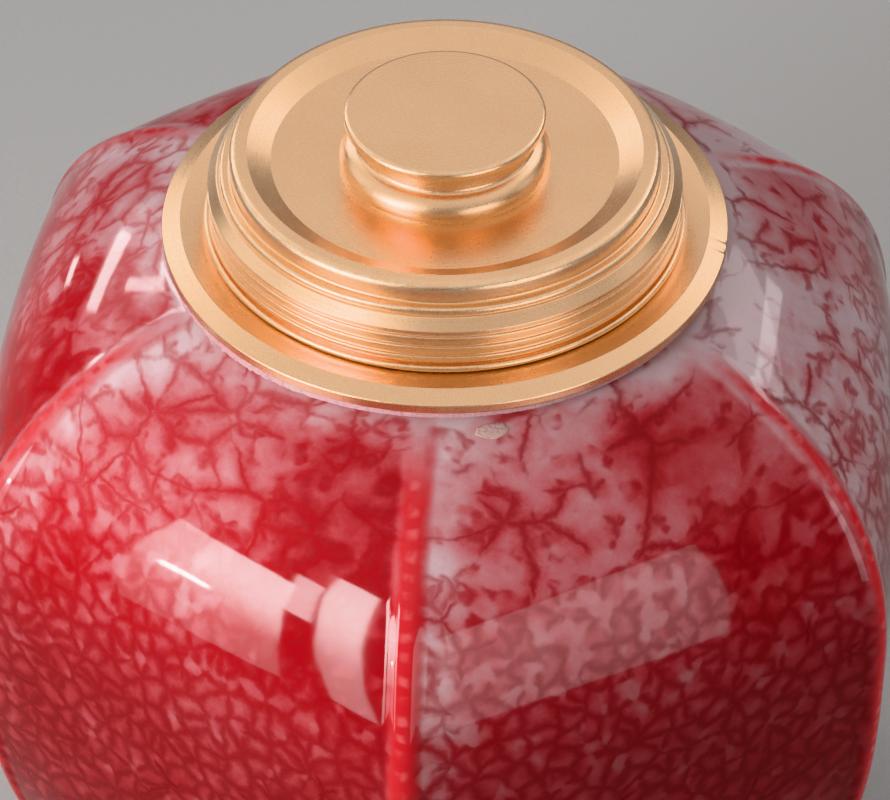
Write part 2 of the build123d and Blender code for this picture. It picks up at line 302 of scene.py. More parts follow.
def beside_the_ridges(n, at, redness):
    """Redness with a milky strip on one side of each ridge and a rosy one on the other."""
    beside = n.ramp(at.from_ridge, 1.4, 2.6)
    pale = n.math("MULTIPLY", n.ramp(at.side, 0.0, 0.25), n.ramp(at.down, 42.0, 64.0, 1.0, 0.2))
    pale = n.math("MULTIPLY", pale, n.ramp(at.from_ridge, 4.0, 8.5, 1.0, 0.0))
    redness = n.math("MULTIPLY_ADD", n.math("MULTIPLY", beside, pale), -0.26, redness)
    rosy = n.math("MULTIPLY", n.ramp(at.side, 0.0, -0.25), n.ramp(at.down, 5.0, 12.0))
    rosy = n.math("MULTIPLY", rosy, n.ramp(at.from_ridge, 13.0, 26.0, 1.0, 0.0))
    rosy = n.math("MULTIPLY", rosy, n.ramp(at.down, 34.0, 52.0, 1.0, 0.2))
    return n.math("MULTIPLY_ADD", n.math("MULTIPLY", beside, rosy), 0.30, redness)


def glaze_veins(n, at):
    """(vein, halo) of three scales together: long veins high up, a finer net below, none on the ridges."""
    left = n.ramp(at.across, -20.0, 20.0, 1.0, 0.0)
    low = n.ramp(at.down, 22.0, 48.0)
    start = n.ramp(at.down, 0.0, 6.0, -0.14, 0.0)
    long_presence = n.math("MULTIPLY_ADD", low, -0.14, n.math("ADD", start, 0.03))
    mid_presence = n.math("MULTIPLY_ADD", low, -0.24, n.math("ADD", start, -0.08))
    mid_presence = n.math("MULTIPLY_ADD", left, 0.13, mid_presence)
    fine_presence = n.math("MULTIPLY_ADD", left, 0.04, n.ramp(at.down, 14.0, 46.0, -0.14, 0.13))
    long_veins, long_halo = vein_layer(n, at.chart, *LONG_VEINS, long_presence, 1.0)
    mid_veins, mid_halo = vein_layer(n, at.chart, *MID_VEINS, mid_presence, 2.0)
    fine_veins, fine_halo = vein_layer(n, at.chart, *FINE_VEINS, fine_presence, 3.0)
    vein = n.math("MAXIMUM", n.math("MULTIPLY", mid_veins, 0.85), n.math("MULTIPLY", fine_veins, 0.75))
    vein = n.math("MAXIMUM", long_veins, vein)
    halo = n.math("ADD", long_halo, n.math("ADD", mid_halo, fine_halo), clamp=True)
    off_ridge = n.ramp(at.from_ridge, 0.2, 2.2)
    return n.math("MULTIPLY", vein, off_ridge), n.math("MULTIPLY", halo, off_ridge)


def ridge_band(n, at, coloured):
    """The glaze's colour with a redder band along each ridge, spotted with painted highlights on its crest.
    """
    highlight_phase = n.math("MULTIPLY_ADD", at.down, TURN / RIDGE_HIGHLIGHT_PITCH, n.math("MULTIPLY", at.clouds, 12.0))
    # Painted highlights: pale spots down the crest of each ridge.
    painted_highlights = n.ramp(n.math("SINE", highlight_phase), -0.6, 1.0)
    painted_highlights = n.math("MULTIPLY", painted_highlights, n.ramp(at.from_ridge, 0.1, 1.1, 1.0, 0.0))
    painted_highlights = n.math("MULTIPLY", painted_highlights, n.ramp(at.mottle, 0.38, 0.62, 0.05, 0.6))
    ridge_red_and_highlights = n.mix(painted_highlights, srgb(170, 38, 42), srgb(198, 98, 100))
    narrowing = n.ramp(n.math("ABSOLUTE", at.across), 8.0, 25.0, 0.0, 0.8)
    ragged = n.math("MULTIPLY_ADD", at.mottle, 1.6, -0.8)
    past = n.math("ADD", ragged, n.math("ADD", at.from_ridge, narrowing))
    on_ridge = n.math("MULTIPLY", n.ramp(past, 0.8, 2.5, 1.0, 0.0), n.ramp(at.down, 5.0, 16.0, 0.0, 0.92))
    return n.mix(on_ridge, coloured, ridge_red_and_highlights)


def glaze_material():
    """Glossy glaze over white porcelain: milky pink at the neck, crimson lower down, with red veins."""
    material, n, shader = new_material("red_crackle_glaze", Roughness=0.06, IOR=1.36)
    at = glaze_place(n)
    vein, halo = glaze_veins(n, at)
    redness = beside_the_ridges(n, at, glaze_redness(n, at))
    redness = n.math("MULTIPLY_ADD", halo, 0.24, redness, clamp=True)
    glaze = n.colours(redness, [
        (0.00, srgb(182, 157, 161)), (0.20, srgb(176, 132, 136)), (0.40, srgb(172, 106, 110)),
        (0.60, srgb(165, 76, 81)), (0.80, srgb(152, 50, 54)), (1.00, srgb(134, 30, 34)),
    ])
    # Painted shade, partly the glaze's own depth: the glaze and its veins turn darker towards the lower
    # right, where less light falls.
    to_right = n.ramp(at.across, -10.0, 40.0, 0.52, 1.0)
    painted_shade_and_depth = n.math("MULTIPLY", to_right, n.ramp(at.down, 26.0, 60.0, 0.17, 0.70))
    glaze = n.mix(painted_shade_and_depth, glaze, srgb(70, 2, 4))
    vein_colour = n.mix(n.ramp(at.across, -25.0, 25.0), srgb(150, 16, 22), srgb(118, 16, 22))
    vein_colour = n.mix(n.ramp(at.down, 30.0, 70.0), vein_colour, srgb(104, 3, 7))
    vein_colour = n.mix(painted_shade_and_depth, vein_colour, srgb(62, 0, 2))
    vein = n.math("MULTIPLY", vein, n.ramp(at.down, 20.0, 50.0, 0.66, 0.88))
    coloured = ridge_band(n, at, n.mix(vein, glaze, vein_colour))
    ripple = n.noise(at.point, 0.22, 1.0, 0.5)
    connect(shader, Base_Color=coloured, Normal=n.bump(ripple, 0.012 * MM))
    return material


def porcelain_material(name, colour, roughness, grain_depth):
    """White porcelain, glazed or bare, with faint speckling."""
    material, n, shader = new_material(name, IOR=1.5)
    point = n.scaled(n.point(), 1 / MM)
    speckle = n.ramp(n.noise(point, 1.3, 3.0, 0.7), 0.62, 0.78)
    dust = n.noise(point, 6.0, 2.0)
    tinted = n.mix(n.math("MULTIPLY", speckle, 0.35), srgb(*colour), darker(colour, 0.82))
    roughness_here = n.ramp(dust, 0.2, 0.8, roughness * 0.8, roughness * 1.2)
    connect(shader, Base_Color=tinted, Roughness=roughness_here, Normal=n.bump(dust, grain_depth))
    return material


def gold_material():
    """Bead-blasted, turned and gold-anodised aluminium, worn paler at its edges."""
    material, n, shader = new_material("gold_anodised", Metallic=1.0, Coat_Weight=0.7, Coat_Roughness=0.25)
    point = n.scaled(n.point(), 1 / MM)
    path = n.math("MULTIPLY_ADD", n.parts(point)[2], 1.7, n.radius(point))
    turning = n.line_noise(path, 3.2, 4.0)
    blast = n.noise(point, 5.5, 2.0, 0.7)
    clouds = n.noise(point, 0.12, 3.0)
    worn = n.math("MULTIPLY", n.attribute("edge", "Fac"), n.ramp(n.noise(point, 0.9, 3.0), 0.35, 0.6))
    gold = n.mix(n.ramp(clouds, 0.3, 0.7), (0.83, 0.505, 0.285, 1), (0.86, 0.53, 0.305, 1))
    gold = n.mix(n.ramp(blast, 0.35, 0.7, 0.0, 0.35), gold, (0.93, 0.66, 0.44, 1))
    gold = n.mix(n.math("MULTIPLY", worn, 0.4), gold, (0.95, 0.74, 0.53, 1))
    roughness = n.math("MULTIPLY_ADD", blast, 0.12, 0.20)
    roughness = n.math("MULTIPLY_ADD", turning, 0.06, roughness)
    relief = n.math("MULTIPLY_ADD", turning, 0.5, blast)
    connect(shader, Base_Color=gold, Roughness=roughness, Normal=n.bump(relief, 0.016 * MM))
    return material


def adhesive_material(name, cloudy, yellowed):
    """Cured adhesive: cloudy with yellowed patches and a grainy, half-glossy skin."""
    material, n, shader = new_material(name, IOR=1.4)
    point = n.scaled(n.point(), 1 / MM)
    grain = n.noise(point, 2.4, 3.0, 0.7)
    patches = n.ramp(n.noise(point, 0.2, 2.0), 0.5, 0.7)
    tinted = n.mix(patches, srgb(*cloudy), srgb(*yellowed))
    tinted = n.mix(n.ramp(grain, 0.35, 0.65, 0.6, 0.0), tinted, darker(cloudy, 0.84))
    connect(shader, Base_Color=tinted, Roughness=n.ramp(grain, 0.3, 0.7, 0.2, 0.5))
    connect(shader, Normal=n.bump(grain, 0.15 * MM))
    return material


def moulded_material(name, colour, roughness, grain_scale):
    """Moulded plastic or rubber: a fine even grain with faint flow marks."""
    material, n, shader = new_material(name, IOR=1.46)
    point = n.scaled(n.point(), 1 / MM)
    grain = n.noise(point, grain_scale, 2.0, 0.6)
    flow = n.noise(n.vector("MULTIPLY", point, (0.3, 0.3, 0.05)), 1.0, 3.0)
    tinted = n.mix(n.ramp(flow, 0.3, 0.7), srgb(*colour), darker(colour, 0.93))
    roughness_here = n.ramp(grain, 0.2, 0.8, roughness * 0.85, roughness * 1.15)
    connect(shader, Base_Color=tinted, Roughness=roughness_here, Normal=n.bump(grain, 0.02 * MM))
    return material


def steel_material():
    """Brushed stainless steel, brushed around the axis."""
    material, n, shader = new_material("screw_steel", Metallic=1.0)
    point = n.scaled(n.point(), 1 / MM)
    brushing = n.line_noise(n.math("ADD", n.radius(point), n.parts(point)[2]), 9.0, 3.0)
    tone = n.mix(n.ramp(brushing, 0.3, 0.7), (0.50, 0.50, 0.51, 1), (0.66, 0.66, 0.67, 1))
    connect(shader, Base_Color=tone, Roughness=n.ramp(brushing, 0.2, 0.8, 0.22, 0.42))
    connect(shader, Normal=n.bump(brushing, 0.01 * MM))
    return material


def floor_material():
    """Pale matte board with a faint tooth."""
    material, n, shader = new_material("floor_board", Roughness=0.7)
    place = n.point()
    tooth = n.noise(place, 900.0, 3.0)
    clouds = n.noise(place, 2.0, 3.0)
    tone = n.mix(clouds, srgb(162, 160, 159), srgb(170, 168, 167))
    connect(shader, Base_Color=tone, Normal=n.bump(tooth, 0.1 * MM))
    return material


# ----------------------------------------------------------------------------------------- meshes --
def mesh_piece(name, vertices, faces, materials):
    """A smooth-shaded mesh object with its material slots."""
    mesh = bpy.data.meshes.new(name)
    mesh.from_pydata([tuple(v) for v in vertices], [], faces)
    for material in materials:
        mesh.materials.append(material)
    mesh.polygons.foreach_set("use_smooth", [True] * len(mesh.polygons))
    piece = bpy.data.objects.new(name, mesh)
    bpy.context.scene.collection.objects.link(piece)
    return piece


def set_attribute(piece, name, domain, values):
    """A named float attribute, one value for each element of the domain."""
    attribute = piece.data.attributes.new(name, "FLOAT", domain)
    attribute.data.foreach_set("value", np.asarray(values, np.float32).ravel())


def grid_faces(rows, columns, closed):
    """Quads over rows that each run round the axis; closed also joins the last row to the first."""
    faces = []
    for row in range(rows if closed else rows - 1):
        here, above = row * columns, (row + 1) % rows * columns
        for column in range(columns):
            beside = (column + 1) % columns
            faces.append((here + column, here + beside, above + beside, above + column))
    return faces


def rounded(outline, steps=6):
    """Points round a closed outline of (radius, height, rounding), and how far each is on a rounded edge."""
    points, edge = [], []
    count = len(outline)
    for i, (radius, height, rounding) in enumerate(outline):
        corner = np.array((radius, height), float)
        if rounding == 0:
            points.append(corner)
            edge.append(0.0)
            continue
        before = np.array(outline[i - 1][:2], float) - corner
        after = np.array(outline[(i + 1) % count][:2], float) - corner
        room = 0.49 * min(np.linalg.norm(before), np.linalg.norm(after))
        before /= np.linalg.norm(before)
        after /= np.linalg.norm(after)
        half = math.acos(float(np.clip(before @ after, -1, 1))) / 2
        setback = min(rounding / math.tan(half), room)
        bisector = (before + after) / np.linalg.norm(before + after)
        centre = corner + bisector * setback / math.cos(half)
        start = corner + before * setback - centre
        end = corner + after * setback - centre
        sweep = math.atan2(start[0] * end[1] - start[1] * end[0], float(start @ end))
        support = min(1.2 * setback, room)
        points.append(corner + before * support)
        for k in range(steps + 1):
            angle = sweep * k / steps
            turn = np.array(((math.cos(angle), -math.sin(angle)), (math.sin(angle), math.cos(angle))))
            points.append(centre + turn @ start)
        points.append(corner + after * support)
        edge += [0.0] + [math.sin(math.pi * k / steps) * (sweep > 0) for k in range(steps + 1)] + [0.0]
    return np.array(points), np.array(edge)


def arc(start, middle, end, steps=12):
    """Outline points along the circle from start through middle to end."""
    a, b, c = (complex(*point) for point in (start, middle, end))
    w = (c - a) / (b - a)
    centre = (b - a) * (w - abs(w) ** 2) / (2j * w.imag) + a
    sweep = np.angle((b - centre) / (a - centre)) + np.angle((c - centre) / (b - centre))
    around = [centre + (a - centre) * np.exp(1j * sweep * k / steps) for k in range(steps + 1)]
    return [(point.real, point.imag, 0) for point in around]


def turned_piece(name, outline, material, segments, shape=None):
    """An outline in mm, counter-clockwise and measured from SEAT, turned about the axis.

    shape, if given, moves the points: it takes radii, heights and azimuths, and returns the first two."""
    profile, edge = rounded(outline)
    azimuth = np.broadcast_to(np.arange(segments) * TURN / segments, (len(profile), segments))
    radius = np.repeat(profile[:, :1], segments, 1)
    height = np.repeat(profile[:, 1:], segments, 1)
    if shape is not None:
        radius, height = shape(radius, height, azimuth)
    around = np.stack((radius * np.sin(azimuth), -radius * np.cos(azimuth), height), 2) * MM
    around[..., 2] += SEAT
    faces = grid_faces(len(profile), segments, closed=True)
    piece = mesh_piece(name, around.reshape(-1, 3), faces, [material])
    piece.data.set_sharp_from_angle(angle=CREASE)
    set_attribute(piece, "edge", "POINT", np.repeat(edge, segments))
    return piece


# -------------------------------------------------------------------------------------- jar body --
def ridge_line(angle, inset=0.0):
    """Radius and height on a ridge, by angle above (+) or below (-) the widest level."""
    reach = np.where(angle >= 0, SHOULDER_REACH, BELLY_REACH) - inset
    radius = (RIDGE_RADIUS - inset) * np.cos(angle) ** (2 / SQUARENESS)
    return radius, WIDEST + np.sign(angle) * reach * np.abs(np.sin(angle)) ** (2 / SQUARENESS)


def angle_at_radius(radius, inset=0.0):
    """Angle, above the widest level, at which a ridge line is radius away from the axis."""
    return math.acos((radius / (RIDGE_RADIUS - inset)) ** (SQUARENESS / 2))


def even_angles(low, high, rows, inset=0.0):
    """Ridge-line angles from low to high, at even distances along the line."""
    angles = low + (high - low) * (1 - np.cos(np.linspace(0, math.pi, LINE_SAMPLES))) / 2
    radius, height = ridge_line(angles, inset)
    run = np.concatenate(([0], np.cumsum(np.hypot(np.diff(radius), np.diff(height)))))
    return np.interp(np.linspace(0, run[-1], rows), run, angles)


def arc_radius(corner, middle, half_angle, angle):
    """Distance from the axis to the arc through middle, at angle 0, and corner, at both half angles."""
    centre = (corner ** 2 - middle ** 2) / (2 * (corner * np.cos(half_angle) - middle))
    inside = (middle - centre) ** 2 - (centre * np.sin(angle)) ** 2
    return centre * np.cos(angle) + np.sign(middle - centre) * np.sqrt(np.maximum(inside, 0))


def soft_maximum(first, second, blend):
    """The larger of two lengths, with the crease between them rounded over blend."""
    overlap = np.maximum(blend - np.abs(first - second), 0) / blend
    return np.maximum(first, second) + overlap ** 3 * blend / 6


def column_places():
    """One panel's columns, placed from 0 to 3 over its first half rib, its middle and its last half rib."""
    half = RIB_COLUMNS // 2
    first = np.arange(half) / half
    middle = 1 + (1 - np.cos(math.pi * np.arange(PANEL_COLUMNS) / PANEL_COLUMNS)) / 2
    return np.concatenate((first, middle, 2 + first))


def section_radius(turn, ridge, inset, rib_half_width, rib_height, blend):
    """Distance from the axis at angles turn past a ridge, on the level where the ridges are ridge away."""
    step = TURN / PANELS
    widening = max(0.0, (ridge + inset - ROUND_RADIUS) / (RIDGE_RADIUS - ROUND_RADIUS))
    flatness = widening ** FLATTENING_POWER
    corner = ridge - rib_height * flatness
    middle = ridge * (1 - PANEL_FLATNESS * flatness)
    rib = rib_half_width / ridge
    past = np.minimum(turn, step - turn)
    panel = arc_radius(corner, middle, step / 2 - rib, turn - step / 2)
    bead = arc_radius(corner, ridge, rib, np.minimum(past, rib))
    bead = np.where(past > rib, corner - 2 * (past - rib) * ridge, bead)
    if flatness < ROUND_BELOW:
        return panel
    return np.minimum(soft_maximum(panel, bead, blend * min(1.0, flatness)), ridge)


def body_rings():
    """Rings of the body from under its centre, round its outside and rim, to its inner floor's centre.

    Each is its turns past the ridges, radii, height, length of glaze down from the rim, and material."""
    step = TURN / PANELS
    place = column_places()
    rings = []

    def add(ridge, height, material, inset=None, down=0.0):
        width = RIB_MARGIN * RIB_HALF_WIDTH / max(ridge, ROUND_RADIUS / 2)
        turn = np.interp(place, (0, 1, 2, 3), (0, width, step - width, step))
        if inset is None:
            radius = np.full_like(turn, ridge)
        elif inset == 0.0:
            radius = section_radius(turn, ridge, 0.0, RIB_HALF_WIDTH, RIB_HEIGHT, CREASE_BLEND)
        else:
            radius = section_radius(turn, ridge, inset, INNER_CORNER_HALF_WIDTH, 0.0, INNER_CREASE_BLEND)
        rings.append((turn, radius, height, down, material))

    foot, _ = rounded((
        (0, BASE_HEIGHT, 0),
        (FOOT_INNER_RADIUS, BASE_HEIGHT, FOOT_ROUNDING), (FOOT_INNER_RADIUS, 0, FOOT_ROUNDING),
        (FOOT_OUTER_RADIUS, 0, FOOT_ROUNDING), (FOOT_OUTER_RADIUS, BASE_HEIGHT, FOOT_ROUNDING),
        (0, 1, 0),                      # only closes the outline, far above
    ))
    for radius, height in foot[1:-1]:
        add(radius, height, BISCUIT if height < 0.7 * BASE_HEIGHT else WHITE)

    low = -math.asin(((WIDEST - BASE_HEIGHT) / BELLY_REACH) ** (SQUARENESS / 2))
    ridges, heights = ridge_line(even_angles(low, angle_at_radius(MOUTH_RIM_RADIUS), OUTER_ROWS))
    run = np.concatenate((np.cumsum(np.hypot(np.diff(ridges), np.diff(heights))[::-1])[::-1], [0]))
    for ridge, height, down in zip(ridges, heights, run):
        add(ridge, height, GLAZE, 0.0, down)

    top = heights[-1]
    below = top - 5 * RIM_ROUNDING
    rim, _ = rounded((
        (MOUTH_BORE_RADIUS, below, 0), (MOUTH_RIM_RADIUS, below, 0),
        (MOUTH_RIM_RADIUS, top, RIM_ROUNDING), (MOUTH_BORE_RADIUS, top, RIM_ROUNDING),
    ))
    for radius, height in rim[2:]:      # the two points below only close the outline
        add(radius, height, WHITE)

    floor = -angle_at_radius(INNER_FLOOR_RADIUS, WALL)
    inside = even_angles(floor, angle_at_radius(MOUTH_BORE_RADIUS, WALL), INNER_ROWS, WALL)[::-1]
    for ridge, height in zip(*ridge_line(inside, WALL)):
        add(ridge, height, WHITE, WALL)
    return rings


def glaze_wave(azimuth, radius, height):
    """How far the hand-laid glaze surface lies in from its full form."""
    place = Vector((radius * math.sin(azimuth), -radius * math.cos(azimuth), height))
    return GLAZE_WAVE * (0.5 + 0.5 * noise.noise(place / GLAZE_WAVE_LENGTH))


def build_body(materials):
    """The porcelain body as one closed skin, with the flat charts that its veins are laid out on."""
    rings = body_rings()
    step = TURN / PANELS
    columns = len(rings[0][0])
    vertices, from_ridge, ridge_side, chart = [], [], [], []
    for turn, radius, height, down, material in rings:
        azimuth = np.concatenate([turn + panel * step for panel in range(PANELS)])
        radii = np.tile(radius, PANELS)
        if material == GLAZE:
            radii = radii - [glaze_wave(a, r, height) for a, r in zip(azimuth, radii)]
        vertices += zip(radii * np.sin(azimuth), -radii * np.cos(azimuth), [height] * len(azimuth))
        from_ridge.append(np.tile(np.minimum(turn, step - turn), PANELS) * radii / MM)
        ridge_side.append(np.sin(PANELS * azimuth))
        along = (np.append(turn, step) - step / 2) * radius[0] / MM
        chart.append(np.stack((along, np.full_like(along, down / MM), np.zeros_like(along)), 1))

    faces = grid_faces(len(rings), columns * PANELS, closed=False)
    row_materials = [ring[4] for ring in rings[1:]]
    face_materials = np.repeat(row_materials, columns * PANELS)
    last = len(vertices) - columns * PANELS
    vertices += [(0, 0, rings[0][2]), (0, 0, rings[-1][2])]
    around = [(c, (c + 1) % (columns * PANELS)) for c in range(columns * PANELS)]
    faces += [(len(vertices) - 2, there, here) for here, there in around]
    faces += [(len(vertices) - 1, last + here, last + there) for here, there in around]
    face_materials = np.concatenate((face_materials, np.full(2 * len(around), WHITE)))

    body = mesh_piece("porcelain_body", vertices, faces, materials)
    body.data.polygons.foreach_set("material_index", face_materials.astype(np.int32))
    set_attribute(body, "from_ridge", "POINT", np.append(np.ravel(from_ridge), (0, 0)))
    set_attribute(body, "ridge_side", "POINT", np.append(np.ravel(ridge_side), (0, 0)))

    chart = np.array(chart)
    panels = np.zeros((len(rings) - 1, PANELS, columns, 4, 3))
    panels[:, :, :, 0] = chart[:-1, None, :-1]
    panels[:, :, :, 1] = chart[:-1, None, 1:]
    panels[:, :, :, 2] = chart[1:, None, 1:]
    panels[:, :, :, 3] = chart[1:, None, :-1]
    panels[..., 0] += CHART_STEP * np.arange(PANELS)[None, :, None, None]
    corners = np.concatenate((panels.reshape(-1, 3), np.zeros((6 * len(around), 3))))
    glaze_chart = body.data.attributes.new("glaze_chart", "FLOAT_VECTOR", "CORNER")
    glaze_chart.data.foreach_set("vector", corners.astype(np.float32).ravel())
    return body


# ------------------------------------------------------------------------- collar, adhesive, lid --
def nicked(radius, height, azimuth):
    """Two small dents in the flange's edge."""
    for nick in NICK_AZIMUTHS:
        along = (azimuth - nick) * radius
        depth = NICK_DEPTH * np.exp(-(along ** 2 + (height - FLANGE_EDGE) ** 2) / NICK_SIZE ** 2)
        outer = radius > FLANGE_RADIUS / MM - 1.0
        radius = radius - np.where(outer, depth, 0)
        height = height - np.where(outer, depth, 0) * 0.6
    return radius, height


def squeezed_out(radius, height, azimuth):
    """Adhesive that swells past the flange on one side of the front and stays tucked under it elsewhere."""
    uneven = radius > FLANGE_RADIUS / MM - SQUEEZE_ZONE
    lumps = np.zeros_like(radius)
    for index, angle in np.ndenumerate(azimuth):
        around = Vector((math.sin(angle), math.cos(angle), 0)) * SQUEEZE_LUMPS
        place = around + Vector((0, 0, 1.7 * height[index]))
        lumps[index] = noise.noise(place) + 0.5 * noise.noise(place * 2.3)
    past = np.mod(azimuth - SQUEEZE_AZIMUTH + math.pi, TURN) - math.pi
    swollen = np.exp(-(past / SQUEEZE_SPREAD) ** 2)
    reach = np.clip(swollen * (0.75 + 0.4 * lumps) + 0.06 * lumps, -0.2, 1)
    squeezed = np.minimum(radius + reach * SQUEEZE_REACH, ADHESIVE_RADIUS / MM)
    return np.where(uneven, squeezed, radius), height


def build_adhesive(material):
    """The ring of cured adhesive under the flange, which fills the gap down to the glaze."""
    outline = (
        (27.65, -5, 0), (28.15, -5, 0), (28.15, -3, 0), (34.2, -3, 0),
        (34.2, -1.7, 0.3), (33.9, -1.0, 0.3), (33.7, -0.4, 0), (27.65, -0.4, 0),
    )
    return turned_piece("adhesive_squeeze_out", outline, material, EDGE_SEGMENTS, squeezed_out)


def body_point(azimuth, ridge):
    """The point of the body's outside at an azimuth, on the level where the ridges are ridge away."""
    angle = np.array([angle_at_radius(ridge)])
    height = ridge_line(angle)[1][0]
    turn = np.array([azimuth % (TURN / PANELS)])
    radius = section_radius(turn, ridge, 0.0, RIB_HALF_WIDTH, RIB_HEIGHT, CREASE_BLEND)[0]
    return Vector((radius * math.sin(azimuth), -radius * math.cos(azimuth), height))


def build_smear(material):
    """A thumbed-down lump of adhesive on the glaze, just outside the flange."""
    centre = body_point(SMEAR_AZIMUTH, SMEAR_RADIUS * MM)
    along = (body_point(SMEAR_AZIMUTH + 0.01, SMEAR_RADIUS * MM) - centre).normalized()
    down = (body_point(SMEAR_AZIMUTH, SMEAR_RADIUS * MM + 0.2 * MM) - centre).normalized()
    out = down.cross(along).normalized()
    rings, segments = 10, 36
    vertices = []
    for ring in range(rings + 1):
        reach = math.sin(math.pi * (ring + 0.5) / (rings + 1))
        rise = math.cos(math.pi * (ring + 0.5) / (rings + 1))
        for k in range(segments):
            turn = TURN * k / segments
            ragged = 1 + 0.2 * noise.noise(Vector((1.6 * math.cos(turn), 1.6 * math.sin(turn), rise)))
            place = along * SMEAR_SIZE[0] * reach * ragged * math.cos(turn)
            place += down * SMEAR_SIZE[1] * reach * ragged * math.sin(turn)
            vertices.append(centre + (place + out * SMEAR_SIZE[2] * rise * ragged) * MM)
    faces = grid_faces(rings + 1, segments, closed=False)
    faces += [tuple(range(segments))[::-1], tuple(range(rings * segments, (rings + 1) * segments))]
    return mesh_piece("adhesive_smear", vertices, [face[::-1] for face in faces], [material])


def build_collar(material):
    """Neck collar: sleeve, upstand, dished flange with two small dents in its edge."""
    outline = (
        (27.6, -0.35, 0), (34, -0.35, 0), (35, -0.35, 0.25), (35, FLANGE_EDGE, 0.25),
        (34.55, 1.11, 0), (34.1, 1.271, 0), (32.73, 1.76, 0.15), (29.9, 1.35, 0.4),
        (27.9, 1.35, 0.2), (27.9, 4.5, 0.3), (26, 4.5, 0.3), (26, -10, 0.3), (27.6, -10, 0.3),
    )
    return turned_piece("collar_turned", outline, material, EDGE_SEGMENTS, nicked)


def build_cap(material):
    """Lid cap: lip, three turned bands, bevel, crowned ledge, round-edged rim and recess."""
    bands = []
    for i in range(BANDS):
        bottom = BAND_BOTTOM + BAND_PITCH * i
        top = bottom + BAND_PITCH
        groove = top - GROOVE_WIDTH
        bands += [(SKIRT_RADIUS, bottom, 0.16), (SKIRT_RADIUS, groove, 0.28)]
        bands += [(GROOVE_RADIUS, groove, 0.12), (GROOVE_RADIUS, top, 0.12)]
    outline = (
        (1.7, 8.95, 0), (24.5, 8.95, 0), (24.5, 4.9, 0.3), (28.3, 4.9, 0.3), (28.3, 1.5, 0.2),
        (29.75, 1.5, 0.27), (29.75, 2.3, 0.38), (28.75, 2.3, 0.15), (28.75, BAND_BOTTOM, 0.12), *bands,
        (SKIRT_RADIUS, 7.2, 0.15), (28.0, 8.62, 0.15), (27.6, 8.62, 0.1), (27.6, 9.45, 0.75),
        (26.35, 9.45, 0.25), (26.35, 12.05, 0.84), (24.2, 12.05, 0.2), (21.3, 10.5, 0.15), (1.7, 10.5, 0),
    )
    return turned_piece("cap_turned", outline, material, SEGMENTS)


def build_knob(material):
    """Knob: a rounded bead, a narrow waist and a round-edged disc."""
    outline = (
        (1.55, 10.5, 0),
        *arc((12.9, 10.5), (12.75, 11.9), (11.3, 13.35))[:-1],
        *arc((11.3, 13.35), (10.99, 13.57), (10.8, 13.9)),
        (10.8, 15.9, 0), (12.3, 16.5, 0.12), (12.3, 17.6, 0.9),
        (0.01, 17.6, 0), (0.01, 15.3, 0), (1.55, 15.3, 0),
    )
    return turned_piece("knob_turned", outline, material, KNOB_SEGMENTS)


# ------------------------------------------------------------------------- floor, light, camera --
def direction(azimuth, elevation):
    """Unit vector from the axis, with angles in degrees."""
    a, e = math.radians(azimuth), math.radians(elevation)
    return Vector((math.sin(a) * math.cos(e), -math.cos(a) * math.cos(e), math.sin(e)))


def build_floor(material):
    """A pale square board, far wider than any view."""
    corners = [(x * FLOOR_REACH, y * FLOOR_REACH, 0) for x, y in ((-1, -1), (1, -1), (1, 1), (-1, 1))]
    floor = mesh_piece("floor", corners, [(0, 1, 2, 3)], [material])


def add_panel(name, azimuth, elevation, distance, size, radiance, foot=1.0, roll=0.0, spread=180):
    """A rectangular lamp facing the jar, unseen by cameras, whose foot is foot times as bright as its top.

    A spread under 180 degrees narrows its beam, as a grid on a studio lamp does, and keeps its radiance."""
    lamp = bpy.data.lights.new(name, "AREA")
    lamp.shape = "RECTANGLE"
    lamp.size, lamp.size_y = size
    lamp.spread = math.radians(spread)
    gain = 1.0
    if spread < 180:
        gain = math.tan(lamp.spread / 2) / (math.tan(lamp.spread / 2) - lamp.spread / 2)
    lamp.energy = radiance * math.pi * size[0] * size[1] / gain
    lamp.use_nodes = True
    n = Nodes(lamp.node_tree)
    place = n.parts(n.new("ShaderNodeNewGeometry", {}).outputs["Parametric"])
    emission = lamp.node_tree.nodes["Emission"]
    lamp.node_tree.links.new(n.ramp(place[1], 0.25, 0.85, foot, 1.0), emission.inputs["Strength"])
    panel = bpy.data.objects.new(name, lamp)
    bpy.context.scene.collection.objects.link(panel)
    aim = Vector((0, 0, WIDEST))
    panel.location = aim + direction(azimuth, elevation) * distance
    facing = (aim - panel.location).to_track_quat("-Z", "Y")
    panel.rotation_euler = (facing @ Quaternion((0, 0, 1), math.radians(roll))).to_euler()
    panel.visible_camera = False


